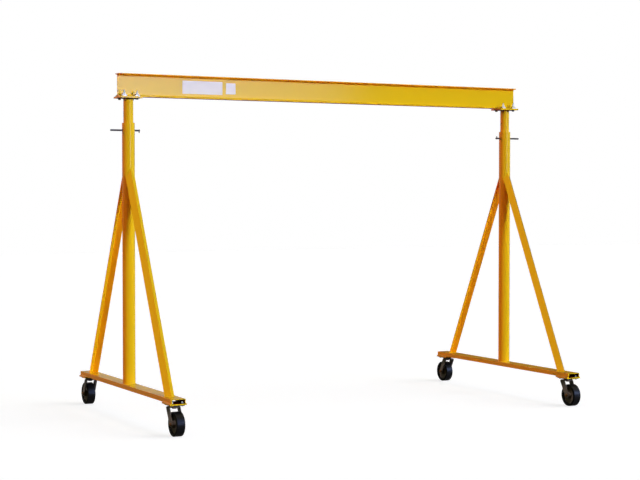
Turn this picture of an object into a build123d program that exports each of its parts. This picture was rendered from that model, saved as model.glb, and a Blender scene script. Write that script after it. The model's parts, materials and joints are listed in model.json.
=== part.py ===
from build123d import *
from math import hypot
import os

os.makedirs("parts", exist_ok=True)

# Portable gantry crane: a beam on two telescoping pipe posts, each post braced
# on a wheeled channel base. X runs along the beam, -Y is the front, Z is up,
# and the origin is on the floor under the middle of the beam. Millimetres.

# Beam
beam_length = 4300.0
beam_overhang = 105.0  # past each post axis
beam_depth = 208.0
flange_width = 100.0
flange_thickness = 9.0
web_thickness = 6.5
beam_root_radius = 9.0

# Posts: an inner pipe slides in an outer pipe
outer_post_diameter = 114.3
outer_post_wall = 6.0
outer_post_length = 2364.0
inner_post_diameter = 88.9
inner_post_wall = 7.6
inner_post_exposed = 222.0
inner_post_engaged = 900.0
guide_ring_height = 50.0
slide_clearance = 0.3

# Height lock: a pin through both pipes, kept by a hairpin clip
pin_diameter = 16.0
pin_below_ring = 17.0  # pin axis to the foot of the guide ring
pin_outer_reach = 171.0
pin_inner_reach = 110.0
pin_chamfer = 2.0
pin_clearance = 0.3
pin_hole_pitch = 152.4
pin_holes_below = 4
pin_holes_above = 1
clip_wire = 4.5
clip_inset = 9.0  # from the pin's inner end
clip_leg_spacing = 14.0
clip_leg_above = 10.0
clip_leg_below = 14.0
clip_clearance = 0.2

# Beam seat: a plate on the inner post, with stepped clips over the flange edges
seat_length = 212.0
seat_width = 190.0
seat_thickness = 15.0
seat_bolt_pitch = 122.0  # along the beam
seat_bolt_gap = 11.0  # bolt axis to the flange edge
seat_bolt_hole = 17.0
seat_corner_radius = 4.0
plate_edge = 1.0  # bevel round flat plates
clamp_length = 42.0
clamp_thickness = 7.0
clamp_overlap = 14.0  # onto the flange
clamp_heel = 10.0
clamp_bevel = 4.0
clamp_outer_margin = 20.0  # past the bolt

# Base channel, web up
base_length = 2368.0
base_width = 130.0
base_height = 41.0
base_web = 7.0
base_flange = 8.0
base_root_radius = 7.0
base_corner_radius = 2.5

# Braces: angle iron, heel outwards
brace_leg = 63.5
brace_thickness = 6.35
brace_root_radius = 6.0
brace_toe_radius = 3.0
brace_reach = 1031.0  # heel to post axis at the base
brace_drop = 412.0  # top of the outer post to the heel on the post
weld_gap = 0.1

# Caster pads under the base ends
pad_length = 186.0
pad_width = 155.0
pad_thickness = 12.0
pad_bolt_pitch_x = 94.0
pad_bolt_pitch_y = 124.0
pad_bolt_hole = 13.0

# Swivel casters
caster_plate_length = 158.0
caster_plate_width = 130.0
caster_plate_thickness = 7.0
race_diameter = 84.0
race_height = 12.0
race_gap = 0.3
kingpin_diameter = 24.0
kingpin_nut_diameter = 42.0
kingpin_nut_height = 9.0
running_clearance = 0.05
trail = 51.0
tyre_clearance = 29.7  # top of the tyre to the crown
crown_thickness = 8.0
crown_diameter = 92.0
hub_side_gap = 3.0
fork_plate = 7.0
fork_top_back = 49.0  # behind the swivel axis
fork_top_front = 12.0  # ahead of the swivel axis
fork_eye_radius = 26.0
lip_width = 6.0
lip_thickness = 6.0
axle_diameter = 19.0
axle_fit = 0.15
axle_spacer_diameter = 34.0
axle_hex = 30.0
axle_hex_height = 12.0
axle_hex_face = 0.95  # flat of each hexagon, as a share of its width
axle_hex_taper = 60.0
axle_thread = 6.0

# Wheels
wheel_diameter = 210.0
wheel_width = 76.0
tyre_depth = 18.0
tyre_shoulder = 6.0
bond_gap = 0.05
rim_depth = 6.0
rim_inset = 3.0  # from each side of the tyre
hub_diameter = 58.0
hub_projection = 3.0  # past each side of the tyre
disc_thickness = 36.0
wheel_fillet = 6.0

# Heights and places that follow from the sizes above
outer_radius = outer_post_diameter / 2
inner_radius = inner_post_diameter / 2
pin_radius = pin_diameter / 2
axle_radius = axle_diameter / 2
caster_stack = tyre_clearance + crown_thickness + race_gap + race_height + caster_plate_thickness
caster_height = wheel_diameter + caster_stack
base_bottom = caster_height + pad_thickness
base_top = base_bottom + base_height
outer_top = base_top + outer_post_length
seat_bottom = outer_top + inner_post_exposed
beam_bottom = seat_bottom + seat_thickness
beam_middle = beam_bottom + beam_depth / 2
pin_height = outer_top - guide_ring_height - pin_below_ring
post_spacing = beam_length - 2 * beam_overhang
brace_rise = outer_post_length - brace_drop
brace_stock = 3 * brace_leg  # spare length at each end for the mitre and the cope
pad_centre = base_length / 2 - pad_length / 2
axle_height = wheel_diameter / 2
race_bottom = caster_height - caster_plate_thickness - race_height
crown_top = race_bottom - race_gap
crown_bottom = crown_top - crown_thickness
hub_length = wheel_width + 2 * hub_projection
rim_width = wheel_width - 2 * rim_inset
fork_gap = hub_length + 2 * hub_side_gap

sides = (("left", -1), ("right", 1))
ends = (("front", -1), ("rear", 1))


def keep(piece, label):
    """Name a finished piece and write it to its own file."""
    piece.part.label = label
    export_step(piece.part, f"parts/{label}.step")


def pipe(plane, radius, wall, length):
    """A plain pipe standing on a plane, added to the open part."""
    with BuildSketch(plane) as wall_ring:
        Circle(radius)
        Circle(radius - wall, mode=Mode.SUBTRACT)
    extrude(wall_ring.sketch, amount=length)


def ease(plate):
    """Bevel the outer edges of a flat plate, top and bottom."""
    levels = plate.faces().filter_by(Axis.Z).sort_by(Axis.Z)
    chamfer(levels[0].outer_wire().edges() + levels[-1].outer_wire().edges(), plate_edge)


def cross_hole(x, height, radius):
    """A hole along X right through a post."""
    with BuildSketch(Plane(origin=(x, 0, height), z_dir=(1, 0, 0))) as hole:
        Circle(radius)
    extrude(hole.sketch, amount=outer_post_diameter, both=True, mode=Mode.SUBTRACT)


# Beam: a rolled I section with rounded roots
with BuildPart() as beam:
    with BuildSketch(Plane.YZ) as section:
        with Locations((0, beam_middle)):
            Rectangle(flange_width, beam_depth)
        pocket_height = beam_depth - 2 * flange_thickness
        pocket_width = (flange_width - web_thickness) / 2
        pocket_offset = (web_thickness + pocket_width) / 2
        with Locations((-pocket_offset, beam_middle), (pocket_offset, beam_middle)):
            Rectangle(pocket_width, pocket_height, mode=Mode.SUBTRACT)
        roots = section.vertices().sort_by(lambda corner: abs(corner.X))[:4]
        fillet(roots, beam_root_radius)
    extrude(amount=beam_length / 2, both=True)
keep(beam, "beam")


def make_post(side, x):
    """The outer pipe, the inner pipe that slides in it, and the ring that guides it."""
    with BuildPart() as outer_post:
        pipe(Plane(origin=(x, 0, base_top)), outer_radius, outer_post_wall, outer_post_length)
        cross_hole(x, pin_height, pin_radius + pin_clearance)
    keep(outer_post, f"{side}_outer_post")

    with BuildPart() as inner_post:
        foot = Plane(origin=(x, 0, outer_top - inner_post_engaged))
        pipe(foot, inner_radius, inner_post_wall, inner_post_engaged + inner_post_exposed)
        for step in range(-pin_holes_below, pin_holes_above + 1):
            cross_hole(x, pin_height + step * pin_hole_pitch, pin_radius + pin_clearance)
    keep(inner_post, f"{side}_inner_post")

    with BuildPart() as guide_ring:
        bore = inner_radius + slide_clearance
        ring_radius = outer_radius - outer_post_wall - weld_gap
        seat = Plane(origin=(x, 0, outer_top - guide_ring_height))
        pipe(seat, ring_radius, ring_radius - bore, guide_ring_height)
    keep(guide_ring, f"{side}_guide_ring")


def make_lock(side, x, outward):
    """The height pin and the hairpin clip in its inner end."""
    clip_x = x - outward * (pin_inner_reach - clip_inset)
    clip_hole = clip_wire / 2 + clip_clearance

    with BuildPart() as lock_pin:
        inner_end = Plane(origin=(x - outward * pin_inner_reach, 0, pin_height), z_dir=(outward, 0, 0))
        with BuildSketch(inner_end):
            Circle(pin_radius)
        extrude(amount=pin_inner_reach + pin_outer_reach)
        chamfer(lock_pin.edges().filter_by(GeomType.CIRCLE), pin_chamfer)
        with BuildSketch(Plane(origin=(clip_x, 0, pin_height))):
            Circle(clip_hole)
        extrude(amount=pin_diameter, both=True, mode=Mode.SUBTRACT)
    keep(lock_pin, f"{side}_lock_pin")

    with BuildPart() as pin_clip:
        upright = Plane(origin=(clip_x, 0, pin_height), x_dir=(0, -1, 0), z_dir=(outward, 0, 0))
        with BuildLine(upright) as wire:
            inner_leg = Line((0, clip_leg_above), (0, -clip_leg_below))
            bow = RadiusArc(inner_leg @ 1, (clip_leg_spacing, -clip_leg_below), -clip_leg_spacing / 2)
            Line(bow @ 1, (clip_leg_spacing, clip_leg_above))
        with BuildSketch(Plane(origin=wire.line @ 0, z_dir=wire.line % 0)):
            Circle(clip_wire / 2)
        sweep(path=wire.line)
    keep(pin_clip, f"{side}_pin_clip")


def make_seat(side, x):
    """The plate under the beam and the four stepped clips that hold the flange to it."""
    bolt_x = seat_bolt_pitch / 2
    bolt_y = flange_width / 2 + seat_bolt_gap
    bolts = GridLocations(2 * bolt_x, 2 * bolt_y, 2, 2)

    with BuildPart() as top_plate:
        with BuildSketch(Plane(origin=(x, 0, seat_bottom))):
            RectangleRounded(seat_length, seat_width, seat_corner_radius)
            with bolts:
                Circle(seat_bolt_hole / 2, mode=Mode.SUBTRACT)
        extrude(amount=seat_thickness)
        ease(top_plate)
    keep(top_plate, f"{side}_top_plate")

    toe = flange_width / 2 - clamp_overlap
    back = bolt_y + clamp_outer_margin
    clamp_top = flange_thickness + clamp_thickness
    with BuildPart() as beam_clamps:
        for clamp_x in (x - bolt_x, x + bolt_x):
            for across in (-1, 1):
                clamp_end = Plane(
                    origin=(clamp_x, 0, beam_bottom), x_dir=(0, across, 0), z_dir=(across, 0, 0)
                )
                with BuildSketch(clamp_end):
                    with BuildLine():
                        Polyline(
                            (toe, flange_thickness),
                            (back - clamp_heel, flange_thickness),
                            (back - clamp_heel, 0),
                            (back, 0),
                            (back, clamp_top - clamp_bevel),
                            (back - clamp_bevel, clamp_top),
                            (toe, clamp_top),
                            close=True,
                        )
                    make_face()
                extrude(amount=clamp_length / 2, both=True)
        with BuildSketch(Plane(origin=(x, 0, beam_bottom))):
            with bolts:
                Circle(seat_bolt_hole / 2)
        extrude(amount=clamp_top, mode=Mode.SUBTRACT)
    keep(beam_clamps, f"{side}_beam_clamps")


def make_base(side, x):
    """The inverted channel that the post and the braces stand on."""
    lower = (Align.CENTER, Align.MIN)
    with BuildPart() as base:
        across_base = Plane(origin=(x, 0, base_bottom), x_dir=(1, 0, 0), z_dir=(0, -1, 0))
        with BuildSketch(across_base) as section:
            Rectangle(base_width, base_height, align=lower)
            fillet(section.vertices().group_by(Axis.Y)[-1], base_corner_radius)
            with BuildSketch(mode=Mode.SUBTRACT) as hollow:
                Rectangle(base_width - 2 * base_flange, base_height - base_web, align=lower)
                fillet(hollow.vertices().group_by(Axis.Y)[-1], base_root_radius)
        extrude(amount=base_length / 2, both=True)
    keep(base, f"{side}_base")


def make_brace(side, x, end, end_sign):
    """An angle brace, mitred on the base and coped round the post."""
    run = brace_reach - outer_radius
    length = hypot(run, brace_rise)
    # At the heel's foot, looking up the brace, with the legs turned 45 degrees back to the post
    heel = Plane(
        origin=(x, end_sign * brace_reach, base_top),
        x_dir=(-end_sign * length, -end_sign * brace_rise, -run),
        z_dir=(0, -end_sign * run, brace_rise),
    )
    own_side = Keep.TOP if end_sign < 0 else Keep.BOTTOM
    with BuildPart() as brace:
        with BuildSketch(heel.offset(-brace_stock)) as section:
            with BuildLine():
                Polyline(
                    (0, 0),
                    (brace_leg, 0),
                    (brace_leg, brace_thickness),
                    (brace_thickness, brace_thickness),
                    (brace_thickness, brace_leg),
                    (0, brace_leg),
                    close=True,
                )
            make_face()
            toes = section.vertices().sort_by(lambda corner: corner.X + corner.Y)[-2:]
            fillet(toes, brace_toe_radius)
            root = section.vertices().sort_by_distance((brace_thickness, brace_thickness))[:1]
            fillet(root, brace_root_radius)
        extrude(amount=length + 2 * brace_stock)
        split(bisect_by=Plane.XZ, keep=own_side)
        split(bisect_by=Plane.XY.offset(base_top), keep=Keep.TOP)
        with BuildSketch(Plane(origin=(x, 0, base_top))):
            Circle(outer_radius + weld_gap)
        extrude(amount=outer_post_length, mode=Mode.SUBTRACT)
    keep(brace, f"{side}_{end}_brace")


def make_caster(name, x, end_sign):
    """A pad under the base end and the swivel caster bolted to it."""
    y = end_sign * pad_centre
    axle_y = y + end_sign * trail
    bolts = GridLocations(pad_bolt_pitch_x, pad_bolt_pitch_y, 2, 2)

    with BuildPart() as caster_pad:
        with BuildSketch(Plane(origin=(x, y, caster_height))):
            Rectangle(pad_width, pad_length)
            with bolts:
                Circle(pad_bolt_hole / 2, mode=Mode.SUBTRACT)
        extrude(amount=pad_thickness)
        ease(caster_pad)
    keep(caster_pad, f"{name}_caster_pad")

    with BuildPart() as caster_plate:
        with BuildSketch(Plane(origin=(x, y, caster_height))):
            Rectangle(caster_plate_width, caster_plate_length)
            with bolts:
                Circle(pad_bolt_hole / 2, mode=Mode.SUBTRACT)
        extrude(amount=-caster_plate_thickness)
        ease(caster_plate)
        with BuildSketch(Plane(origin=(x, y, race_bottom))):
            Circle(race_diameter / 2)
        extrude(amount=race_height)
        with BuildSketch(Plane(origin=(x, y, race_bottom))):
            Circle(kingpin_diameter / 2)
        extrude(amount=-(crown_thickness + 2 * race_gap))
        with BuildSketch(Plane(origin=(x, y, crown_bottom - race_gap))):
            Circle(kingpin_nut_diameter / 2)
        extrude(amount=-kingpin_nut_height)
    keep(caster_plate, f"{name}_caster_plate")

    make_fork(name, x, y, end_sign)
    make_axle(name, x, axle_y)
    make_wheel(name, x, axle_y)


def make_fork(name, x, y, end_sign):
    """Two raked plates under a crown, with a stiffening lip turned out along each back edge."""
    top_centre = (fork_top_front - fork_top_back) / 2
    top_width = fork_top_front + fork_top_back
    fork_outside = fork_gap + 2 * fork_plate
    drop = crown_bottom - axle_height

    with BuildPart() as caster_fork:
        crown = Plane(origin=(x, y, crown_bottom), x_dir=(end_sign, 0, 0), z_dir=(0, 0, 1))
        with BuildSketch(crown):
            Circle(crown_diameter / 2)
            with Locations((0, top_centre)):
                Rectangle(fork_outside, top_width)
            make_hull()
            Circle(kingpin_diameter / 2 + running_clearance, mode=Mode.SUBTRACT)
        extrude(amount=crown_thickness)
        for across in (-1, 1):
            inner_x = x + across * fork_gap / 2
            inner_face = Plane(
                origin=(inner_x, y, axle_height), x_dir=(0, end_sign, 0), z_dir=(across, 0, 0)
            )
            up = 1 if across * end_sign > 0 else -1
            with BuildSketch(inner_face):
                with Locations((trail, 0)):
                    Circle(fork_eye_radius)
                with Locations((top_centre, up * drop)):
                    Rectangle(top_width, crown_thickness)
                make_hull()
                with Locations((trail, 0)):
                    Circle(axle_radius + axle_fit, mode=Mode.SUBTRACT)
            extrude(amount=fork_plate)
            with BuildSketch(inner_face):
                with BuildLine():
                    back_top = (-fork_top_back, up * drop)
                    back_low = (trail - fork_eye_radius, 0)
                    Polyline(
                        back_top,
                        back_low,
                        (back_low[0] + lip_thickness, back_low[1]),
                        (back_top[0] + lip_thickness, back_top[1]),
                        close=True,
                    )
                make_face()
            extrude(amount=fork_plate + lip_width)
    keep(caster_fork, f"{name}_caster_fork")


def make_axle(name, x, axle_y):
    """The axle bolt, with spacers beside the hub and a hexagon outside each fork plate."""
    fork_outside = fork_gap / 2 + fork_plate
    spacer_length = hub_side_gap - race_gap
    with BuildPart() as caster_axle:
        with BuildSketch(Plane(origin=(x, axle_y, axle_height), z_dir=(1, 0, 0))):
            Circle(axle_radius)
        extrude(amount=fork_outside + axle_hex_height + axle_thread, both=True)
        for across in (-1, 1):
            inner_x = x + across * fork_gap / 2
            inner_face = Plane(origin=(inner_x, axle_y, axle_height), z_dir=(across, 0, 0))
            with BuildSketch(inner_face):
                Circle(axle_spacer_diameter / 2)
            extrude(amount=-spacer_length)
            with BuildPart(mode=Mode.PRIVATE) as hexagon:
                with BuildSketch(inner_face.offset(fork_plate)) as flats:
                    RegularPolygon(axle_hex / 2, 6, major_radius=False)
                extrude(flats.sketch, amount=axle_hex_height)
                with BuildSketch(inner_face.offset(fork_plate + axle_hex_height)) as face:
                    Circle(axle_hex_face * axle_hex / 2)
                extrude(face.sketch, amount=-axle_hex_height, taper=-axle_hex_taper, mode=Mode.INTERSECT)
            add(hexagon.part)
    keep(caster_axle, f"{name}_caster_axle")


def make_wheel(name, x, axle_y):
    """A cast core with a recessed disc, and the solid tyre bonded round it."""
    centre = Plane(origin=(x, axle_y, axle_height), x_dir=(1, 0, 0), z_dir=(0, -1, 0))
    spin = Axis(centre.origin, (1, 0, 0))
    tread_radius = wheel_diameter / 2
    core_radius = tread_radius - tyre_depth
    bore_radius = axle_radius + running_clearance

    with BuildPart() as wheel_core:
        with BuildSketch(centre) as profile:
            with Locations((0, bore_radius)):
                Rectangle(hub_length, hub_diameter / 2 - bore_radius, align=(Align.CENTER, Align.MIN))
                Rectangle(disc_thickness, core_radius - bore_radius, align=(Align.CENTER, Align.MIN))
            with Locations((0, core_radius)):
                Rectangle(rim_width, rim_depth, align=(Align.CENTER, Align.MAX))
            disc_side = disc_thickness / 2 + bond_gap
            roots = profile.vertices().filter_by_position(Axis.X, -disc_side, disc_side)
            fillet(roots, wheel_fillet)
        revolve(axis=spin)
    keep(wheel_core, f"{name}_wheel_core")

    with BuildPart() as tyre:
        with BuildSketch(centre) as profile:
            with Locations((0, core_radius + bond_gap)):
                Rectangle(wheel_width, tyre_depth - bond_gap, align=(Align.CENTER, Align.MIN))
            fillet(profile.vertices().group_by(Axis.Y)[-1], tyre_shoulder)
        revolve(axis=spin)
    keep(tyre, f"{name}_tyre")


for side, outward in sides:
    post_x = outward * post_spacing / 2
    make_post(side, post_x)
    make_lock(side, post_x, outward)
    make_seat(side, post_x)
    make_base(side, post_x)
    for end, end_sign in ends:
        make_brace(side, post_x, end, end_sign)
        make_caster(f"{side}_{end}", post_x, end_sign)
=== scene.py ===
"""Looks of a portable gantry crane: finishes, rolled beam, bolts, welds, plates and studio."""

import json
import math

import bmesh
import bpy
from bpy.props import FloatProperty, FloatVectorProperty, PointerProperty
from mathutils import Matrix, Vector

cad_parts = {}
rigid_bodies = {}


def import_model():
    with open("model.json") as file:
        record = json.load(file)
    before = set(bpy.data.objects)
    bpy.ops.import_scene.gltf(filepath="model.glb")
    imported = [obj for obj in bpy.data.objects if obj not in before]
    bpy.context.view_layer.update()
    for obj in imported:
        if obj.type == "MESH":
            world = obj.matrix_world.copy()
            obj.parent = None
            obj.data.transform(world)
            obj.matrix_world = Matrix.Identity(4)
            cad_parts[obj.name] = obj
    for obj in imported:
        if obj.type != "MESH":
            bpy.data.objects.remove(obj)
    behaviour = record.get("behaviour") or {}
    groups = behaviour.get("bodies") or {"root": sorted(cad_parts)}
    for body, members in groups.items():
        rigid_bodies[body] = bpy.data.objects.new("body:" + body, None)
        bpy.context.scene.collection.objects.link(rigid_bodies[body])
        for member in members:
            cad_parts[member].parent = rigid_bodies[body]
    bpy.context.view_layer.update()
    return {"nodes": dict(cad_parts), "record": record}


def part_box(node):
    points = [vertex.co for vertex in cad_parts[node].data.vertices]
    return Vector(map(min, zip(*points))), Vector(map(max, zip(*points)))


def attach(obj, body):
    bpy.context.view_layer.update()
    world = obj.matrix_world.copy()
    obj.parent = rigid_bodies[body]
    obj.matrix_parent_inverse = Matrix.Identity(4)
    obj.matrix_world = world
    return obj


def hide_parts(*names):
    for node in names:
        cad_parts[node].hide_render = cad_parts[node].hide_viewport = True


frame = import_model()

bl_info = {
    "name": "Gantry Crane Looks",
    "version": (1, 0, 0),
    "blender": (4, 5, 0),
    "location": "View3D > Sidebar > Gantry",
    "description": "Finishes, fasteners, welds and a studio for a portable gantry crane",
    "category": "Object",
}

SIDES = ("left", "right")
ENDS = ("front", "rear")
CASTERS = ("left_front", "left_rear", "right_front", "right_rear")


# Node trees


class Value:
    """A socket of a node tree. Arithmetic on values adds Math nodes."""

    def __init__(self, sheet, socket):
        self.sheet = sheet
        self.socket = socket

    def math(self, operation, first, second=0.0):
        return self.sheet.node("ShaderNodeMath", {"operation": operation}, {0: first, 1: second})

    def __add__(self, other):
        return self.math("ADD", self, other)

    def __radd__(self, other):
        return self.math("ADD", other, self)

    def __sub__(self, other):
        return self.math("SUBTRACT", self, other)

    def __rsub__(self, other):
        return self.math("SUBTRACT", other, self)

    def __mul__(self, other):
        return self.math("MULTIPLY", self, other)

    def __rmul__(self, other):
        return self.math("MULTIPLY", other, self)

    def __pow__(self, other):
        return self.math("POWER", self, other)

    def step(self, low, high, rise="SMOOTHSTEP"):
        """0 below low, 1 above high and a rise between them."""
        inputs = {"Value": self, "From Min": low, "From Max": high}
        return self.sheet.node("ShaderNodeMapRange", {"interpolation_type": rise}, inputs)

    def band(self, low, high, edge):
        """1 between low and high, with soft edges."""
        return self.step(low - edge, low + edge) * (1 - self.step(high - edge, high + edge))


class Sheet:
    """The node tree of a material or of the world, being filled."""

    def __init__(self, tree):
        self.tree = tree
        tree.nodes.clear()

    def node(self, kind, settings=None, inputs=None, output=0):
        """Add a node: first its settings, then the values or links of its sockets."""
        made = self.tree.nodes.new(kind)
        for name, value in (settings or {}).items():
            setattr(made, name, value)
        for name, value in (inputs or {}).items():
            if isinstance(value, Value):
                self.tree.links.new(value.socket, made.inputs[name])
            else:
                made.inputs[name].default_value = value
        return Value(self, made.outputs[output]) if made.outputs else None

    def place(self, kind="Object"):
        """Where a point lies on its piece, or the way it faces."""
        return self.node("ShaderNodeTexCoord", output=kind)

    def parts(self, vector):
        """The X, Y and Z of a vector."""
        first = self.node("ShaderNodeSeparateXYZ", None, {0: vector})
        return [Value(self, socket) for socket in first.socket.node.outputs]

    def noise(self, place, scale, detail=2.0):
        inputs = {"Vector": place, "Scale": scale, "Detail": detail}
        return self.node("ShaderNodeTexNoise", None, inputs)

    def mix(self, factor, first, second, blend="MIX"):
        """A colour between two others, or one multiplied by the other."""
        settings = {"data_type": "RGBA", "blend_type": blend}
        return self.node("ShaderNodeMix", settings, {0: factor, 6: first, 7: second}, 2)

    def tint(self, colour, tone):
        """A colour made lighter or darker by a tone around 1."""
        return self.mix(1.0, colour, tone, "MULTIPLY")

    def bump(self, height, depth):
        """A normal from a height of 0 to 1 that stands for that depth in metres."""
        inputs = {"Height": height, "Distance": depth, "Strength": 1.0}
        return self.node("ShaderNodeBump", None, inputs)


def opaque(colour):
    """A property's colour with full opacity."""
    return (*colour, 1.0)


def make_finish(name, build):
    """A material whose shader sockets come from a function of its sheet."""
    material = bpy.data.materials.new(name)
    material.use_nodes = True
    sheet = Sheet(material.node_tree)
    surface = sheet.node("ShaderNodeBsdfPrincipled", None, build(sheet))
    sheet.node("ShaderNodeOutputMaterial", None, {"Surface": surface})
    return material


# Finishes


def enamel(colour, channel_shade, flange, web):
    """Gloss enamel with fine orange peel and a clear top. Inside the base channels it turns to a
    matt dark red: painted shade.
    """

    def channel_shade_mask(sheet, place):
        """1 inside the channels of both bases, where their shade is painted; the bases lie alike on
        either side of X 0.
        """
        low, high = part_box("right_base")
        x, _, z = sheet.parts(place)
        edge = 0.0005
        reach = 2 * edge
        across = x.math("ABSOLUTE", x).band(low.x + flange - reach, high.x - flange + reach, edge)
        return across * z.band(low.z - reach, high.z - web + reach, edge)

    def build(sheet):
        place = sheet.place()
        drift = sheet.noise(place, scale=1.7, detail=3.0)
        mottle = sheet.noise(place, scale=24.0, detail=4.0)
        peel = sheet.noise(place, scale=380.0, detail=1.0)
        tone = 0.95 + drift * 0.07 + mottle * 0.03
        inside = channel_shade_mask(sheet, place)
        return {
            # Painted shade: inside the channels a dark red stands in for the enamel, and the clear
            # top is left off.
            "Base Color": sheet.tint(sheet.mix(inside, opaque(colour), opaque(channel_shade)), tone),
            "Roughness": 0.44 + mottle * 0.12,
            "Specular IOR Level": 0.0,
            "Normal": sheet.bump(peel, depth=0.00002),
            "Coat Weight": 1 - inside,
            "Coat Roughness": 0.08,
        }

    return build


def plated_steel(colour, metallic, roughness, grain):
    """Plated or oiled steel with a cloudy sheen and fine grain."""

    def build(sheet):
        place = sheet.place()
        cloud = sheet.noise(place, scale=55.0, detail=4.0)
        fine = sheet.noise(place, scale=grain)
        return {
            "Base Color": sheet.tint(opaque(colour), 0.82 + cloud * 0.36),
            "Metallic": metallic,
            "Roughness": roughness + (cloud - 0.5) * 0.16,
            "Normal": sheet.bump(fine, depth=0.00002),
        }

    return build


def baked_black(colour, roughness):
    """Stove paint on pressed or cast metal, with dust in its grain."""

    def build(sheet):
        place = sheet.place()
        cloud = sheet.noise(place, scale=30.0, detail=4.0)
        grit = sheet.noise(place, scale=620.0)
        return {
            "Base Color": sheet.tint(opaque(colour), 0.75 + cloud * 0.5),
            "Roughness": roughness + (cloud - 0.5) * 0.2,
            "Normal": sheet.bump(grit, depth=0.00008),
        }

    return build


def cast_core(colour, rim):
    """A black casting whose outer rim takes the colour of the tyre."""

    def build(sheet):
        place = sheet.place()
        _, y, z = sheet.parts(sheet.place("Generated"))
        radius = 2 * ((y - 0.5) ** 2 + (z - 0.5) ** 2) ** 0.5
        cloud = sheet.noise(place, scale=30.0, detail=4.0)
        grit = sheet.noise(place, scale=620.0)
        cast = sheet.mix(radius.step(0.89, 0.925), opaque(colour), opaque(rim))
        return {
            "Base Color": sheet.tint(cast, 0.75 + cloud * 0.5),
            "Roughness": 0.5 + cloud * 0.2,
            "Specular IOR Level": 0.25,
            "Normal": sheet.bump(grit, depth=0.00008),
        }

    return build


def tread_rubber(colour):
    """Moulded rubber: matt sides, and a tread that the floor has polished."""

    def build(sheet):
        place = sheet.place()
        across, _, _ = sheet.parts(sheet.place("Normal"))
        cloud = sheet.noise(place, scale=40.0, detail=4.0)
        grit = sheet.noise(place, scale=900.0)
        return {
            "Base Color": sheet.tint(opaque(colour), 0.8 + cloud * 0.4),
            "Roughness": 0.5 + cloud * 0.16,
            "Specular IOR Level": 0.1,
            "Normal": sheet.bump(grit, depth=0.00006),
            "Coat Weight": 0.8 * (1 - (across * across).step(0.25, 0.7)),
            "Coat Roughness": 0.36,
        }

    return build


def blank_film(colour):
    """The satin face of a blank plate."""

    def build(sheet):
        cloud = sheet.noise(sheet.place(), scale=12.0, detail=3.0)
        return {
            "Base Color": sheet.tint(opaque(colour), 0.96 + cloud * 0.08),
            "Roughness": 0.38 + cloud * 0.1,
        }

    return build


class GantryFinishes(bpy.types.PropertyGroup):
    """Colours of the crane's finishes."""

    enamel: FloatVectorProperty(
        name="Enamel",
        description="Paint of the steelwork",
        subtype="COLOR",
        default=(0.80, 0.51, 0.007),
    )
    # A dark red painted inside the base channels as their shade.
    channel_shade: FloatVectorProperty(
        name="Painted shade",
        description="Inside of the base channels",
        subtype="COLOR",
        default=(0.12, 0.016, 0.003),
    )
    channel_flange: FloatProperty(
        name="Channel flange",
        description="Thickness of the base channels' sides",
        unit="LENGTH",
        default=0.008,
    )
    channel_web: FloatProperty(
        name="Channel web",
        description="Thickness of the base channels' top",
        unit="LENGTH",
        default=0.007,
    )
    # Also used on the bolt heads under the plates, where its darkness is painted shade.
    pin: FloatVectorProperty(
        name="Pins",
        description="Dark plated lock pins",
        subtype="COLOR",
        default=(0.16, 0.145, 0.15),
    )
    zinc: FloatVectorProperty(
        name="Zinc",
        description="Bright fasteners and clamps",
        subtype="COLOR",
        default=(0.92, 0.94, 1.0),
    )
    caster: FloatVectorProperty(
        name="Casters",
        description="Paint of the forks",
        subtype="COLOR",
        default=(0.115, 0.092, 0.085),
    )
    axle: FloatVectorProperty(
        name="Axles", description="Oiled axle bolts", subtype="COLOR", default=(0.14, 0.065, 0.025)
    )
    core: FloatVectorProperty(
        name="Wheel cores",
        description="Black castings",
        subtype="COLOR",
        default=(0.100, 0.080, 0.074),
    )
    tyre: FloatVectorProperty(
        name="Tyres", description="Solid tyres", subtype="COLOR", default=(0.005, 0.005, 0.006)
    )
    plate: FloatVectorProperty(
        name="Blank plates",
        description="Plain pale plates",
        subtype="COLOR",
        default=(0.85, 0.80, 0.85),
    )


def finish(slot):
    """The finish for a material slot, made once."""
    name = f"{slot}_finish"
    if name in bpy.data.materials:
        return bpy.data.materials[name]
    colours = bpy.context.scene.gantry_finishes
    builds = {
        "yellow_paint": enamel(
            colours.enamel, colours.channel_shade, colours.channel_flange, colours.channel_web
        ),
        "pin_steel": plated_steel(colours.pin, metallic=0.9, roughness=0.36, grain=700.0),
        "zinc_steel": plated_steel(colours.zinc, metallic=0.3, roughness=0.30, grain=500.0),
        "caster_steel": baked_black(colours.caster, roughness=0.46),
        "axle_steel": plated_steel(colours.axle, metallic=0.5, roughness=0.42, grain=700.0),
        "wheel_iron": cast_core(colours.core, colours.tyre),
        "tyre_rubber": tread_rubber(colours.tyre),
        "blank_plate": blank_film(colours.plate),
    }
    return make_finish(name, builds[slot])


class GANTRY_OT_finish_frame(bpy.types.Operator):
    """Give every solid of the frame the finish that the record names for it"""

    bl_idname = "gantry.finish_frame"
    bl_label = "Finish the Frame"

    def execute(self, context):
        for row in frame["record"]["subparts"]:
            solid = frame["nodes"][row["node"]]
            solid.data.materials.clear()
            solid.data.materials.append(finish(row["material_slot"]))
        return {"FINISHED"}


# Mesh helpers

SAME_POINT = 1e-6  # points nearer than this, in metres, are one point


def skin(bm, rings, loop=True):
    """Faces between each ring of points and the next. A loop also closes every ring."""
    rows = [[bm.verts.new(point) for point in ring] for ring in rings]
    for low, high in zip(rows, rows[1:]):
        count = len(low)
        for i in range(count if loop else count - 1):
            j = (i + 1) % count
            bm.faces.new((low[i], low[j], high[j], high[i]))
    return rows


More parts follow.
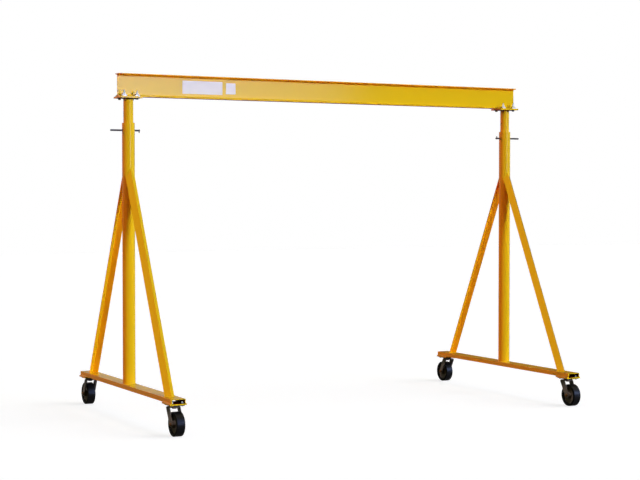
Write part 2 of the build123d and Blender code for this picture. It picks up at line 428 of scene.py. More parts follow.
def keep_piece(bm, name, slot, material=None, smooth_angle=35.0):
    """Turn a built mesh into a named piece of the frame, in its slot's finish or another."""
    bmesh.ops.remove_doubles(bm, verts=bm.verts, dist=SAME_POINT)
    bmesh.ops.recalc_face_normals(bm, faces=bm.faces)
    mesh = bpy.data.meshes.new(name)
    bm.to_mesh(mesh)
    bm.free()
    mesh.materials.append(finish(material or slot))
    mesh.shade_smooth()
    mesh.set_sharp_from_angle(angle=math.radians(smooth_angle))
    piece = bpy.data.objects.new(name, mesh)
    bpy.context.scene.collection.objects.link(piece)
    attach(piece, "frame")
    return piece


# Beam


def round_corners(corners, steps=6, margin=0.0004):
    """A closed outline whose corners (point, radius) become arcs.

    The margin beside each arc keeps the flats flat when they are shaded.
    """
    points = []
    for i, (corner, radius) in enumerate(corners):
        back = (corners[i - 1][0] - corner).normalized()
        ahead = (corners[(i + 1) % len(corners)][0] - corner).normalized()
        half = back.angle(ahead) / 2
        centre = corner + (back + ahead).normalized() * radius / math.sin(half)
        reach = radius / math.tan(half)
        start = (corner + back * reach - centre).normalized()
        end = (corner + ahead * reach - centre).normalized()
        arc = [centre + radius * start.slerp(end, k / steps) for k in range(steps + 1)]
        points += [arc[0] + back * margin, *arc, arc[-1] + ahead * margin]
    return points


class GantryBeam(bpy.types.PropertyGroup):
    """Section of the rolled beam. Its length, width and depth are the solid's."""

    toe: FloatProperty(
        name="Toe", description="Thickness of the flange edges", unit="LENGTH", default=0.0066
    )
    slope: FloatProperty(
        name="Slope",
        description="Rise of the flanges' inner faces for each unit of width",
        default=1 / 6,
    )
    web: FloatProperty(
        name="Web", description="Thickness of the web", unit="LENGTH", default=0.0065
    )
    toe_radius: FloatProperty(
        name="Toe radius",
        description="Round of the flanges' inner edges",
        unit="LENGTH",
        default=0.004,
    )
    root_radius: FloatProperty(
        name="Root radius",
        description="Round between web and flanges",
        unit="LENGTH",
        default=0.009,
    )
    edge_radius: FloatProperty(
        name="Edge radius",
        description="Round of the flanges' outer edges",
        unit="LENGTH",
        default=0.001,
    )


class GANTRY_OT_rolled_beam(bpy.types.Operator):
    """Roll the beam with tapered flanges, rounded toes and roots"""

    bl_idname = "gantry.rolled_beam"
    bl_label = "Rolled Beam"

    def execute(self, context):
        sizes = context.scene.gantry_beam
        low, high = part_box("beam")
        bm = bmesh.new()
        section = self.section(sizes, high.y, (high.z - low.z) / 2)
        middle = Vector((0, 0, (low.z + high.z) / 2))
        ends = (low.x, high.x)
        rings = [[middle + Vector((x, point.x, point.y)) for point in section] for x in ends]
        for ring in skin(bm, rings):
            bm.faces.new(ring)
        beam = keep_piece(bm, "rolled_beam", "yellow_paint", smooth_angle=20)
        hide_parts("beam")
        return {"FINISHED"}

    @staticmethod
    def section(sizes, half_width, half_depth):
        """The outline of the section round its middle, in Y and Z."""
        web = sizes.web / 2
        toe = half_depth - sizes.toe
        root = toe - sizes.slope * (half_width - web)
        quarter = (
            (half_width, half_depth, sizes.edge_radius),
            (half_width, toe, sizes.toe_radius),
            (web, root, sizes.root_radius),
        )
        corners = []
        for y, z, turn in ((1, 1, 1), (1, -1, -1), (-1, -1, 1), (-1, 1, -1)):
            corners += [(Vector((y * a, z * b)), radius) for a, b, radius in quarter[::turn]]
        return round_corners(corners)


# Fasteners

HEX_STEPS = 8  # points along each flat of a hexagon
ROUND_STEPS = 32  # points round a thread or washer
CHAMFER_FACE = 0.96  # round face of a nut, as a share of its flats
CHAMFER_ANGLE = math.radians(30)

# Shares of the thread's diameter
NUT_HEIGHT = 0.82
NUT_BORE = 0.94
HEAD_HEIGHT = 0.63
WASHER_OUTSIDE = 2.1
WASHER_BORE = 1.06
WASHER_HEIGHT = 0.19

SEAT_THREAD_PITCH = 0.002
PAD_THREAD_PITCH = 0.00175
SEAT_NUT_TURN = 0.35  # each nut of a seat stands turned by this much more, in radians


def circle(radius, height, steps=ROUND_STEPS, turn=0.0):
    """A level ring of points about the Z axis."""
    angles = [turn + 2 * math.pi * i / steps for i in range(steps)]
    return [Vector((radius * math.cos(a), radius * math.sin(a), height)) for a in angles]


def hexagon_rings(flats, height, bore, turn):
    """Rings of a hexagon with the corners of both faces chamfered. No bore makes a solid head."""
    steps = 6 * HEX_STEPS
    apothem = flats / 2
    face = CHAMFER_FACE * apothem
    low, high = [], []
    for i in range(steps):
        angle = 2 * math.pi * i / steps
        off_flat = (angle + math.pi / 6) % (math.pi / 3) - math.pi / 6
        radius = apothem / math.cos(off_flat)
        drop = (radius - face) * math.tan(CHAMFER_ANGLE)
        point = Vector((radius * math.cos(angle + turn), radius * math.sin(angle + turn), 0))
        low.append(point + Vector((0, 0, drop)))
        high.append(point + Vector((0, 0, height - drop)))
    inner = bore / 2
    rings = [circle(inner, 0, steps, turn), circle(face, 0, steps, turn), low]
    rings += [high, circle(face, height, steps, turn), circle(inner, height, steps, turn)]
    return rings + rings[:1]


def washer_rings(outside, bore, thickness):
    """Rings of a flat washer with eased outer edges."""
    ease = 0.2 * thickness
    inner, outer = bore / 2, outside / 2
    rings = [circle(inner, 0), circle(outer - ease, 0), circle(outer, ease)]
    rings += [circle(outer, thickness - ease), circle(outer - ease, thickness)]
    rings.append(circle(inner, thickness))
    return rings + rings[:1]


def thread_rings(diameter, length, pitch):
    """Rings of a screw thread that starts at Z 0, with a plain rounded end."""
    depth = 0.3 * pitch
    steps_per_turn = 5
    count = int(length / pitch * steps_per_turn)
    rings = [circle(0, 0)]
    for i in range(count + 1):
        height = length * i / count
        ring = []
        for k, point in enumerate(circle(1, 0)):
            phase = (height / pitch - k / ROUND_STEPS) % 1
            tooth = abs(2 * phase - 1)
            lead_in = min(1.0, (length - height) / pitch)
            radius = diameter / 2 - depth * (1 - tooth * lead_in)
            ring.append(Vector((point.x * radius, point.y * radius, height)))
        rings.append(ring)
    end = length + 0.1 * pitch
    end_face = 0.3 * diameter
    return [*rings, circle(end_face, end), circle(0, end)]


def place_rings(bm, rings, origin, upright=1):
    """Skin rings at a place, standing up or turned over."""
    turn = Matrix.Identity(3) if upright > 0 else Matrix.Rotation(math.pi, 3, "X")
    skin(bm, [[turn @ point + origin for point in ring] for ring in rings])


class GantryBolts(bpy.types.PropertyGroup):
    """Sizes of the bolts in the beam seats and the caster pads."""

    seat_diameter: FloatProperty(
        name="Seat bolt", description="Thread of the beam seat bolts", unit="LENGTH", default=0.016
    )
    seat_flats: FloatProperty(
        name="Seat nut",
        description="Across the flats of heads and nuts",
        unit="LENGTH",
        default=0.024,
    )
    seat_end: FloatProperty(
        name="Seat bolt end",
        description="Height above the underside of the beam",
        unit="LENGTH",
        default=0.055,
    )
    seat_pitch: FloatProperty(
        name="Seat bolt pitch",
        description="Between the bolts along the beam",
        unit="LENGTH",
        default=0.122,
    )
    seat_gap: FloatProperty(
        name="Seat bolt gap",
        description="Bolt axis to the edge of the flange",
        unit="LENGTH",
        default=0.011,
    )
    pad_diameter: FloatProperty(
        name="Pad bolt", description="Thread of the caster bolts", unit="LENGTH", default=0.012
    )
    pad_flats: FloatProperty(
        name="Pad nut",
        description="Across the flats of heads and nuts",
        unit="LENGTH",
        default=0.018,
    )
    pad_head: FloatProperty(
        name="Pad bolt head",
        description="Height of the heads under the caster plate",
        unit="LENGTH",
        default=0.007,
    )
    pad_end: FloatProperty(
        name="Pad bolt end",
        description="Thread that shows above a nut",
        unit="LENGTH",
        default=0.006,
    )
    pad_pitch_x: FloatProperty(
        name="Pad pitch across",
        description="Between the bolts across the base",
        unit="LENGTH",
        default=0.094,
    )
    pad_pitch_y: FloatProperty(
        name="Pad pitch along",
        description="Between the bolts along the base",
        unit="LENGTH",
        default=0.124,
    )


def four_corners(centre, pitch_x, pitch_y):
    """The four bolt places round a centre."""
    x, y = pitch_x / 2, pitch_y / 2
    return [centre + Vector((i * x, j * y, 0)) for i in (-1, 1) for j in (-1, 1)]


class GANTRY_OT_seat_bolts(bpy.types.Operator):
    """Bolt the beam to the top plates: heads below, nuts and thread ends above the clamps"""

    bl_idname = "gantry.seat_bolts"
    bl_label = "Seat Bolts"

    def execute(self, context):
        sizes = context.scene.gantry_bolts
        beam_low, beam_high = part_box("beam")
        spread = beam_high.y - beam_low.y + 2 * sizes.seat_gap
        thread, flats = sizes.seat_diameter, sizes.seat_flats
        washer_height = WASHER_HEIGHT * thread
        washer = washer_rings(WASHER_OUTSIDE * thread, WASHER_BORE * thread, washer_height)
        for side in SIDES:
            plate_low, plate_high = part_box(f"{side}_top_plate")
            clamp_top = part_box(f"{side}_beam_clamps")[1].z
            middle = (plate_low + plate_high) / 2
            nuts, heads = bmesh.new(), bmesh.new()
            for number, spot in enumerate(four_corners(middle, sizes.seat_pitch, spread)):
                turn = SEAT_NUT_TURN * number
                top = Vector((spot.x, spot.y, clamp_top))
                under = Vector((spot.x, spot.y, plate_low.z))
                place_rings(nuts, washer, top)
                top.z += washer_height
                nut = hexagon_rings(flats, NUT_HEIGHT * thread, NUT_BORE * thread, turn)
                place_rings(nuts, nut, top)
                end = sizes.seat_end - (top.z - beam_low.z)
                place_rings(nuts, thread_rings(thread, end, SEAT_THREAD_PITCH), top)
                place_rings(heads, washer, under, -1)
                under.z -= washer_height
                head = hexagon_rings(flats, HEAD_HEIGHT * thread, 0.0, turn)
                place_rings(heads, head, under, -1)
            keep_piece(nuts, f"{side}_seat_nuts", "zinc_steel")
            # Painted shade: the heads under the plate wear the dark pin finish where zinc would lie
            # in the plate's shadow.
            keep_piece(heads, f"{side}_seat_bolt_heads", "pin_steel")
        return {"FINISHED"}


class GANTRY_OT_pad_bolts(bpy.types.Operator):
    """Bolt the casters to their pads: heads under the caster plates, nuts inside the bases"""

    bl_idname = "gantry.pad_bolts"
    bl_label = "Pad Bolts"

    def execute(self, context):
        sizes = context.scene.gantry_bolts
        thread, flats = sizes.pad_diameter, sizes.pad_flats
        nut_height = NUT_HEIGHT * thread
        nut = hexagon_rings(flats, nut_height, NUT_BORE * thread, 0)
        thread_end = thread_rings(thread, nut_height + sizes.pad_end, PAD_THREAD_PITCH)
        head = hexagon_rings(flats, sizes.pad_head, 0.0, 0)
        for caster in CASTERS:
            pad_low, pad_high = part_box(f"{caster}_caster_pad")
            middle = (pad_low + pad_high) / 2
            plate_height = self.plate_thickness(caster)
            nuts, heads = bmesh.new(), bmesh.new()
            for spot in four_corners(middle, sizes.pad_pitch_x, sizes.pad_pitch_y):
                top = Vector((spot.x, spot.y, pad_high.z))
                under = Vector((spot.x, spot.y, pad_low.z - plate_height))
                place_rings(nuts, nut, top)
                place_rings(nuts, thread_end, top)
                place_rings(heads, head, under, -1)
            keep_piece(nuts, f"{caster}_pad_nuts", "zinc_steel")
            # Painted shade: the heads under the caster plate wear the dark pin finish where zinc
            # would lie in the plate's shadow.
            keep_piece(heads, f"{caster}_pad_bolt_heads", "pin_steel")
        return {"FINISHED"}

    @staticmethod
    def plate_thickness(caster):
        """The caster plate's own thickness: from its top to the next level of its corners."""
        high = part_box(f"{caster}_caster_plate")[1]
        mesh = frame["nodes"][f"{caster}_caster_plate"].data
        near = 1e-4
        at_edge = [v.co.z for v in mesh.vertices if abs(v.co.x - high.x) < near]
        return high.z - min(at_edge)


# Welds

RIPPLE_STEPS = 4  # rows of points along each ripple
CROWN = 0.22  # how far a weld stands proud, as a share of its leg
RIPPLE_HEIGHT = 0.05  # as a share of the leg too
RIPPLE_BOW = 0.55  # how far a ripple runs ahead in the middle, as a share of its pitch
WELD_ROOT = 0.1  # how far a weld reaches into the corner, as a share of its leg


class GantryWelds(bpy.types.PropertyGroup):
    """Sizes of the fillet welds."""

    leg: FloatProperty(
        name="Leg", description="Leg of a fillet weld", unit="LENGTH", default=0.0065
    )
    ripple: FloatProperty(
        name="Ripple", description="Pitch of the ripples", unit="LENGTH", default=0.0045
    )


def outline(node, on_face):
    """The closed outline of those faces of a node whose corners all pass a test, in order."""
    mesh = frame["nodes"][node].data
    decimals = 5  # corners that agree to this many are one corner
    edges = set()
    for polygon in mesh.polygons:
        corners = [mesh.vertices[i].co for i in polygon.vertices]
        if all(on_face(corner) for corner in corners):
            keys = [tuple(round(value, decimals) for value in corner) for corner in corners]
            edges.update(zip(keys, keys[1:] + keys[:1]))
    follows = {first: second for first, second in edges if (second, first) not in edges}
    start = min(follows)
    path = [start]
    while follows[path[-1]] != start:
        path.append(follows[path[-1]])
    return [Vector(point) for point in path]


def resample(path, step):
    """A closed path as evenly spaced points."""
    ends = path[1:] + path[:1]
    lengths = [(b - a).length for a, b in zip(path, ends)]
    total = sum(lengths)
    fewest = 8
    count = max(fewest, round(total / step))
    points = []
    index, passed = 0, 0.0
    for i in range(count):
        along = total * i / count
        while along > passed + lengths[index]:
            passed += lengths[index]
            index += 1
        share = (along - passed) / lengths[index]
        points.append(path[index].lerp(ends[index], share))
    return points


def bead(bm, points, first_sides, second_sides, sizes, loop=True):
    """A rippled fillet of weld in a corner, between the two surfaces that meet there."""
    arc = 6
    rows = []
    for i, (point, first, second) in enumerate(zip(points, first_sides, second_sides)):
        row = []
        for k in range(arc + 1):
            share = k / arc
            crown = math.sin(math.pi * share)
            ripple = math.sin(2 * math.pi * (i / RIPPLE_STEPS + RIPPLE_BOW * crown))
            size = sizes.leg * (1 + crown * (CROWN + RIPPLE_HEIGHT * ripple))
            row.append(point + size * ((1 - share) * first + share * second))
        row.append(point - WELD_ROOT * sizes.leg * (first + second))
        rows.append(row)
    if loop:
        rows.append(rows[0])
    skin(bm, [row + row[:1] for row in rows], loop=False)


def round_bead(bm, centre, radius, up, sizes):
    """A weld round the foot or the head of a pipe."""
    count = round(2 * math.pi * radius / sizes.ripple * RIPPLE_STEPS)
    outs = circle(1, 0, count)
    points = [centre + radius * out for out in outs]
    bead(bm, points, outs, [Vector((0, 0, up))] * count, sizes)


def straight_bead(bm, start, end, out, sizes):
    """A weld along a straight edge on a level plate."""
    count = round((end - start).length / sizes.ripple * RIPPLE_STEPS)
    points = [start.lerp(end, i / count) for i in range(count + 1)]
    bead(bm, points, [out] * (count + 1), [Vector((0, 0, 1))] * (count + 1), sizes, loop=False)


def outline_bead(bm, path, rise, away, sizes):
    """A weld along an outline. rise runs up the welded piece, away(point) points into the other."""
    points = resample(path, sizes.ripple / RIPPLE_STEPS)
    count = len(points)
    reach = 3  # points each way that give the direction
    outs = []
    for i, point in enumerate(points):
        along = points[(i + reach) % count] - points[i - reach]
        outs.append(along.cross(away(point)).normalized())
    bead(bm, points, outs, [rise] * count, sizes)


class GANTRY_OT_welds(bpy.types.Operator):
    """Weld the posts, braces, top plates and caster pads"""

    bl_idname = "gantry.welds"
    bl_label = "Welds"

    def execute(self, context):
        sizes = context.scene.gantry_welds
        for side in SIDES:
            post_low, post_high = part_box(f"{side}_outer_post")
            axis = (post_low + post_high) / 2
            radius = (post_high.x - post_low.x) / 2
            inner_low, inner_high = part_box(f"{side}_inner_post")

            bm = bmesh.new()
            round_bead(bm, Vector((axis.x, axis.y, post_low.z)), radius, 1, sizes)
            inner_radius = (inner_high.x - inner_low.x) / 2
            round_bead(bm, Vector((axis.x, axis.y, inner_high.z)), inner_radius, -1, sizes)
            keep_piece(bm, f"{side}_post_welds", "yellow_paint", smooth_angle=60)

            for end in ENDS:
                self.weld_brace(f"{side}_{end}", axis, radius, sizes)
                self.weld_pad(f"{side}_{end}", side, sizes)
        return {"FINISHED"}

    @staticmethod
    def weld_brace(name, axis, radius, sizes):
        """The foot on the base and the cope on the post."""
        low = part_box(f"{name}_brace")[0]
        near = 2e-4

        def on_foot(point):
            return abs(point.z - low.z) < near

        def on_post(point):
            return abs((point - axis).xy.length - radius) < near

        foot = outline(f"{name}_brace", on_foot)
        cope = outline(f"{name}_brace", on_post)
        rise = sum(cope, Vector()) / len(cope) - sum(foot, Vector()) / len(foot)
        rise.normalize()

        bm = bmesh.new()
        outline_bead(bm, foot, rise, lambda point: Vector((0, 0, -1)), sizes)
        outline_bead(bm, cope, -rise, lambda point: (axis - point) * Vector((1, 1, 0)), sizes)
        keep_piece(bm, f"{name}_brace_welds", "yellow_paint", smooth_angle=60)

    @staticmethod
    def weld_pad(name, side, sizes):
        """The two edges of the base on a caster pad."""
        pad_low, pad_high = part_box(f"{name}_caster_pad")
        base_low, base_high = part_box(f"{side}_base")
        bm = bmesh.new()
        for x, out in ((base_low.x, -1), (base_high.x, 1)):
            start = Vector((x, pad_low.y, pad_high.z))
            end = Vector((x, pad_high.y, pad_high.z))
            straight_bead(bm, start, end, Vector((out, 0, 0)), sizes)
        keep_piece(bm, f"{name}_pad_welds", "yellow_paint", smooth_angle=60)


# Blank plates


class GantryPlates(bpy.types.PropertyGroup):
    """Sizes and places of the blank plates on the front of the web."""

    long_width: FloatProperty(
        name="Long plate width",
        description="Width of the long plate",
        unit="LENGTH",
        default=0.400,
    )
    long_height: FloatProperty(
        name="Long plate height",
        description="Height of the long plate",
        unit="LENGTH",
        default=0.120,
    )
    small_width: FloatProperty(
        name="Small plate width",
        description="Width of the small plate",
        unit="LENGTH",
        default=0.097,
    )
    small_height: FloatProperty(
        name="Small plate height",
        description="Height of the small plate",
        unit="LENGTH",
        default=0.102,
    )
    inset: FloatProperty(
        name="Inset",
        description="From the beam end to the long plate",
        unit="LENGTH",
        default=0.631,
    )
    gap: FloatProperty(
        name="Gap", description="Between the two plates", unit="LENGTH", default=0.036
    )
    thickness: FloatProperty(
        name="Thickness", description="Thickness of both plates", unit="LENGTH", default=0.001
    )
    corner: FloatProperty(
        name="Corner", description="Radius of the plates' corners", unit="LENGTH", default=0.006
    )


def rounded_outline(width, height, radius, steps=6):
    """The outline of a rounded rectangle round the origin, in X and Z."""
    points = []
    for quarter, (i, j) in enumerate(((1, 1), (-1, 1), (-1, -1), (1, -1))):
        for k in range(steps + 1):
            angle = math.radians(90 * (quarter + k / steps))
            x = i * (width / 2 - radius) + radius * math.cos(angle)
            z = j * (height / 2 - radius) + radius * math.sin(angle)
            points.append(Vector((x, 0, z)))
    return points


class GANTRY_OT_blank_plates(bpy.types.Operator):
    """Fix two blank plates to the front of the web"""

    bl_idname = "gantry.blank_plates"
    bl_label = "Blank Plates"

    def execute(self, context):
        sizes = context.scene.gantry_plates
        low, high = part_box("beam")
        front = self.web_front()
        middle = (low.z + high.z) / 2
        long_x = low.x + sizes.inset + sizes.long_width / 2
        small_x = low.x + sizes.inset + sizes.long_width + sizes.gap + sizes.small_width / 2
        rows = (
            ("long_blank_plate", long_x, sizes.long_width, sizes.long_height),
            ("small_blank_plate", small_x, sizes.small_width, sizes.small_height),
        )
        for name, x, width, height in rows:
            bm = bmesh.new()
            ease = 0.3 * sizes.thickness
            edge = rounded_outline(width, height, sizes.corner)
            face = rounded_outline(width - 2 * ease, height - 2 * ease, sizes.corner - ease)
            centre = Vector((x, front, middle))
            out = Vector((0, -1, 0))
            rings = [
                [centre + point for point in edge],
                [centre + point + out * (sizes.thickness - ease) for point in edge],
                [centre + point + out * sizes.thickness for point in face],
            ]
            back, _, front_face = skin(bm, rings)
            bm.faces.new(front_face)
            bm.faces.new(back)
            keep_piece(bm, name, "zinc_steel", "blank_plate")
        return {"FINISHED"}

    @staticmethod
    def web_front():
        """The Y of the web's front face, which is the nearest to the middle."""
        mesh = frame["nodes"]["beam"].data
        return max(v.co.y for v in mesh.vertices if v.co.y < 0)


# Studio

WHITE = (1.0, 1.0, 1.0)
COOL_WHITE = (0.95, 1.0, 1.0)
WARM_WHITE = (1.0, 0.9, 0.86)
ORANGE = (1.0, 0.22, 0.02)
RED = (1.0, 0.02, 0.0)
LIGHT_RED = (1.0, 0.03, 0.0)
BLUE = (0.42, 0.56, 1.0)
SOFT = 15  # degrees that most lamps fill


class GantryStudio(bpy.types.PropertyGroup):
    """Camera, floor and light."""

    lens: FloatProperty(name="Lens", description="Focal length on a 36 mm sensor", default=85.125)
    place: FloatVectorProperty(
        name="Camera",
        description="Where the camera stands",
        subtype="TRANSLATION",
        default=(-6.8193, -12.9562, 2.0053),
    )
    yaw: FloatProperty(
        name="Yaw",
        description="Turn of the camera towards +X",
        subtype="ANGLE",
        default=math.radians(27.4348),
    )
    pitch: FloatProperty(
        name="Pitch",
        description="Upward tilt of the camera",
        subtype="ANGLE",
        default=math.radians(-1.5859),
    )
    floor_colour: FloatVectorProperty(
        name="Floor",
        description="Share of light that the floor returns",
        subtype="COLOR",
        default=(0.4, 0.4, 0.4),
    )
    floor_glow: FloatVectorProperty(
        name="Floor glow",
        description="Light that the floor gives off",
        subtype="COLOR",
        default=(0.753, 0.759, 0.771),
    )
    floor_size: FloatProperty(
        name="Floor size", description="Edge of the floor", unit="LENGTH", default=80.0
    )
    white_share: FloatProperty(
        name="White in mirrors",
        description="Share of the white ground that shiny faces mirror",
        default=0.04,
    )
    key: FloatProperty(
        name="Key light", description="Strength of the light from the front", default=0.75
    )
    side: FloatProperty(
        name="Side light", description="Strength of the warm light on the left", default=0.42
    )
    right: FloatProperty(
        name="Right light", description="Strength of the light on the right", default=0.15
    )
    under: FloatProperty(
        name="Beam light", description="Strength of the warm light under the beam", default=0.42
    )
    low: FloatProperty(
        name="Brace light", description="Strength of the warm light under the braces", default=0.55
    )
    posts: FloatProperty(
        name="Post light", description="Strength of the warm light on the posts", default=0.1
    )
    fill: FloatProperty(
        name="Caster light", description="Strength of the light on the casters", default=1.0
    )
    tyres: FloatProperty(
        name="Tyre light", description="Strength of the cool light on the treads", default=0.18
    )
    back: FloatProperty(
        name="Back light", description="Strength of the light from behind", default=0.6
    )
    floor_light: FloatProperty(
        name="Floor light", description="Strength of the low light on the floor", default=0.75
    )
    floor_top_light: FloatProperty(
        name="Floor top light", description="Strength of the high light on the floor", default=0.15
    )


# Walls of the room, from and to a turn, then from and to a height, in degrees, and their colour.
# Turns are from the front towards +X.
ROOM = (
    (-3, 50, 0, 45, (0.02, 0.02, 0.02)),
    (-3, 14, 0, 45, (0.32, 0.32, 0.27)),
    (50, 110, 0, 45, (0.32, 0.32, 0.34)),
    (110, 153, -20, 45, (0.07, 0.01, 0.0)),
    (153, 190, 0, 45, (0.32, 0.28, 0.26)),
    (190, 250, 0, 45, (0.37, 0.36, 0.33)),
    (250, 320, 0, 45, (0.26, 0.24, 0.05)),
    (190, 250, -20, 0, (0.12, 0.14, 0.08)),
    (-40, 60, -20, 0, (0.08, 0.06, 0.01)),
    (60, 130, -20, 0, (0.25, 0.25, 0.24)),
    (-41, 321, 45, 91, (0.28, 0.24, 0.15)),
)
ROOM_MIDDLE = 140  # the walls lie within half a turn of this direction
ROOM_SHADE = (0.02, 0.012, 0.008)  # where no wall is
WALL_EDGE = 1.0  # softness of the walls' edges
WINDOW_TURN = (14, 28.6)
WINDOW_HEIGHT = (0.5, 42)
WINDOW_EDGE = 0.8
WINDOW_FADE = (19.5, 31)  # turns between which the window dims
WINDOW_LOSS = 0.86  # share of its light that is lost at the end of the fade
WINDOW_COLOUR = (1.6, 2.2, 5.0)


def studio_world(world, white_share):
    """White to the camera. Other rays see a dim room with a tall cool window in front."""
    world.use_nodes = True
    sheet = Sheet(world.node_tree)
    x, y, z = sheet.parts(sheet.place("Generated"))
    middle = math.radians(ROOM_MIDDLE)
    ahead = x * math.sin(middle) - y * math.cos(middle)
    right = x * math.cos(middle) + y * math.sin(middle)
    turn = right.math("ARCTAN2", right, ahead) * math.degrees(1) + ROOM_MIDDLE
    height = z.math("ARCSINE", z) * math.degrees(1)

    lit = opaque(ROOM_SHADE)
    for start, end, low, high, colour in ROOM:
        wall = turn.band(start, end, WALL_EDGE) * height.band(low, high, WALL_EDGE)
        lit = sheet.mix(wall, lit, opaque(colour))
    fade = 1 - turn.step(*WINDOW_FADE, "LINEAR") * WINDOW_LOSS
    window = turn.band(*WINDOW_TURN, WINDOW_EDGE) * height.band(*WINDOW_HEIGHT, WINDOW_EDGE)
    lit = sheet.mix(window * fade, lit, opaque(WINDOW_COLOUR))

    def on_path(kind):
        return sheet.node("ShaderNodeLightPath", output=kind)

    room = sheet.node("ShaderNodeBackground", None, {"Color": lit, "Strength": 1.0})
    white = sheet.node("ShaderNodeBackground", None, {"Color": opaque(WHITE), "Strength": 1.0})
    seen = on_path("Is Camera Ray") + on_path("Is Transmission Ray")
    seen = seen + on_path("Is Glossy Ray") * white_share
    both = sheet.node("ShaderNodeMixShader", None, {0: seen, 1: room, 2: white})
    sheet.node("ShaderNodeOutputWorld", None, {"Surface": both})


def floor_finish(colour, glow):
    """A floor that only the camera sees: white, with the crane's shadow on it."""
    material = bpy.data.materials.new("studio_floor")
    material.use_nodes = True
    sheet = Sheet(material.node_tree)
    matt = sheet.node("ShaderNodeBsdfDiffuse", None, {"Color": opaque(colour)})
    shine = sheet.node("ShaderNodeEmission", None, {"Color": opaque(glow), "Strength": 1.0})
    pale = sheet.node("ShaderNodeAddShader", None, {0: matt, 1: shine})
    clear = sheet.node("ShaderNodeBsdfTransparent")
    seen = sheet.node("ShaderNodeLightPath", output="Is Camera Ray")
    both = sheet.node("ShaderNodeMixShader", None, {0: seen, 1: clear, 2: pale})
    sheet.node("ShaderNodeOutputMaterial", None, {"Surface": both})
    return material


def far_light(
    name, turn, height, spread, strength, colour, reached, blockers=None, mirrored=False
):
    """A soft distant light from a turn and a height in degrees, on what it has to reach.

    Where blockers are given, only they cast its shadows. Shiny faces show only a mirrored lamp.
    """
    data = bpy.data.lights.new(name, "SUN")
    data.energy = math.pi * strength
    data.angle = math.radians(spread)
    data.color = colour
    lamp = bpy.data.objects.new(name, data)
    lamp.rotation_euler = (math.radians(90 - height), 0, math.radians(turn))
    lamp.visible_glossy = mirrored
    lamp.light_linking.receiver_collection = reached
    lamp.light_linking.blocker_collection = blockers
    bpy.context.scene.collection.objects.link(lamp)


def light_group(name, objects, state="INCLUDE"):
    """What a light reaches: some objects alone, or all but them."""
    group = bpy.data.collections.new(name)
    for target in objects:
        group.objects.link(target)
    for member in group.collection_objects:
        member.light_linking.link_state = state
    return group


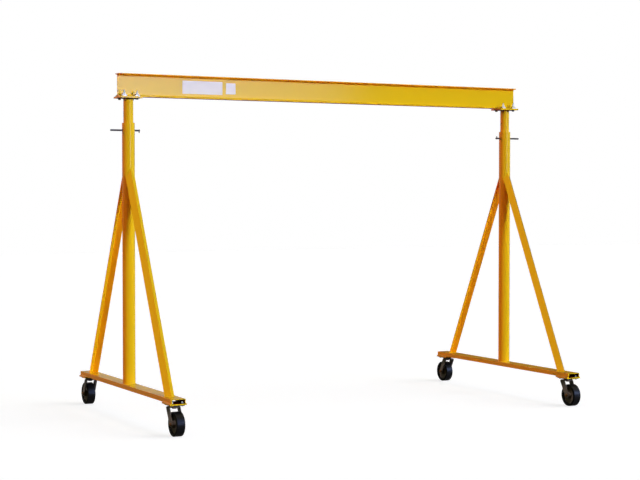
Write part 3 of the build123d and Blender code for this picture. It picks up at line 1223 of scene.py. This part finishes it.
class GANTRY_OT_stage(bpy.types.Operator):
    """Set up the floor, the room's light and the camera"""

    bl_idname = "gantry.stage"
    bl_label = "Stage"

    def execute(self, context):
        scene = context.scene
        studio = scene.gantry_studio
        scene.view_settings.view_transform = "Standard"
        scene.cycles.use_light_tree = False  # it weighs linked lamps differently from run to run

        bm = bmesh.new()
        bmesh.ops.create_grid(bm, x_segments=1, y_segments=1, size=studio.floor_size / 2)
        mesh = bpy.data.meshes.new("studio_floor")
        bm.to_mesh(mesh)
        bm.free()
        mesh.materials.append(floor_finish(studio.floor_colour, studio.floor_glow))
        floor = bpy.data.objects.new("studio_floor", mesh)
        scene.collection.objects.link(floor)

        scene.world = bpy.data.worlds.new("studio_room")
        studio_world(scene.world, studio.white_share)
        self.light(studio, floor)

        data = bpy.data.cameras.new("photo_camera")
        data.sensor_width = 36.0
        data.lens = studio.lens
        data.clip_end = 200.0
        camera = bpy.data.objects.new("photo_camera", data)
        camera.location = studio.place
        camera.rotation_euler = (math.pi / 2 + studio.pitch, 0, -studio.yaw)
        scene.collection.objects.link(camera)
        scene.camera = camera
        return {"FINISHED"}

    def light(self, studio, floor):
        """Hang the lamps, each for the pieces that it has to reach."""
        nodes = frame["nodes"]
        uprights = ("inner_post", "outer_post", "front_brace", "top_plate", "beam_clamps")
        post_nodes = [nodes[f"{side}_{name}"] for side in SIDES for name in uprights]
        metal = self.finished("caster_steel", "axle_steel", "wheel_iron")

        steelwork = light_group("steelwork", self.finished("yellow_paint"))
        beam = light_group("beam_only", [bpy.data.objects["rolled_beam"]])
        braces = light_group("braces", [nodes[f"{caster}_brace"] for caster in CASTERS])
        posts = light_group("posts", post_nodes)
        casters = light_group("casters", metal)
        tyres = light_group("right_tyres", [nodes[f"right_{end}_tyre"] for end in ENDS])
        crane = light_group("all_but_floor", [floor], "EXCLUDE")
        ground = light_group("floor_only", [floor])

        behind = 180 - math.degrees(studio.yaw)
        # Name, turn, height, spread, strength, colour and what it reaches
        far_light("key_light", 20, 16, SOFT, studio.key, COOL_WHITE, crane)
        far_light("side_light", -110, 20, SOFT, studio.side, ORANGE, steelwork)
        far_light("right_light", 75, 12, SOFT, studio.right, WHITE, steelwork)
        far_light("beam_light", -27, -75, SOFT, studio.under, RED, beam, beam)
        far_light("brace_light", -90, -72, SOFT, studio.low, LIGHT_RED, braces, braces)
        far_light("post_light", -60, 5, SOFT, studio.posts, RED, posts)
        far_light("caster_light", -75, 68, SOFT, studio.fill, WARM_WHITE, casters)
        far_light("tyre_light", 38, 22, 20, studio.tyres, BLUE, tyres, mirrored=True)
        far_light("back_light", behind, 20, SOFT, studio.back, WHITE, crane)
        far_light("floor_light", 62, 18, 50, studio.floor_light, WHITE, ground)
        far_light("floor_top_light", 62, 65, 25, studio.floor_top_light, WHITE, ground)

    @staticmethod
    def finished(*slots):
        """The pieces that wear one of some finishes."""
        wanted = [finish(slot) for slot in slots]
        return [piece for piece in bpy.data.objects if piece.active_material in wanted]


# Sidebar


class GANTRY_PT_sidebar(bpy.types.Panel):
    """Sizes, colours and steps of the gantry crane"""

    bl_label = "Gantry Crane"
    bl_idname = "GANTRY_PT_sidebar"
    bl_space_type = "VIEW_3D"
    bl_region_type = "UI"
    bl_category = "Gantry"

    def draw(self, context):
        for name in SETTINGS:
            group = getattr(context.scene, name)
            box = self.layout.box()
            for setting in group.__annotations__:
                box.prop(group, setting)
        for step in STEPS:
            self.layout.operator(step.bl_idname)


SETTINGS = {
    "gantry_finishes": GantryFinishes,
    "gantry_beam": GantryBeam,
    "gantry_bolts": GantryBolts,
    "gantry_welds": GantryWelds,
    "gantry_plates": GantryPlates,
    "gantry_studio": GantryStudio,
}
STEPS = (
    GANTRY_OT_finish_frame,
    GANTRY_OT_rolled_beam,
    GANTRY_OT_seat_bolts,
    GANTRY_OT_pad_bolts,
    GANTRY_OT_welds,
    GANTRY_OT_blank_plates,
    GANTRY_OT_stage,
)


def register():
    for group in SETTINGS.values():
        bpy.utils.register_class(group)
    for step in STEPS:
        bpy.utils.register_class(step)
    bpy.utils.register_class(GANTRY_PT_sidebar)
    for name, group in SETTINGS.items():
        setattr(bpy.types.Scene, name, PointerProperty(type=group))


def unregister():
    for name in SETTINGS:
        delattr(bpy.types.Scene, name)
    bpy.utils.unregister_class(GANTRY_PT_sidebar)
    for step in reversed(STEPS):
        bpy.utils.unregister_class(step)
    for group in SETTINGS.values():
        bpy.utils.unregister_class(group)


def main():
    register()
    bpy.ops.gantry.finish_frame()
    bpy.ops.gantry.rolled_beam()
    bpy.ops.gantry.seat_bolts()
    bpy.ops.gantry.pad_bolts()
    bpy.ops.gantry.welds()
    bpy.ops.gantry.blank_plates()
    bpy.ops.gantry.stage()


if __name__ == "__main__":
    main()
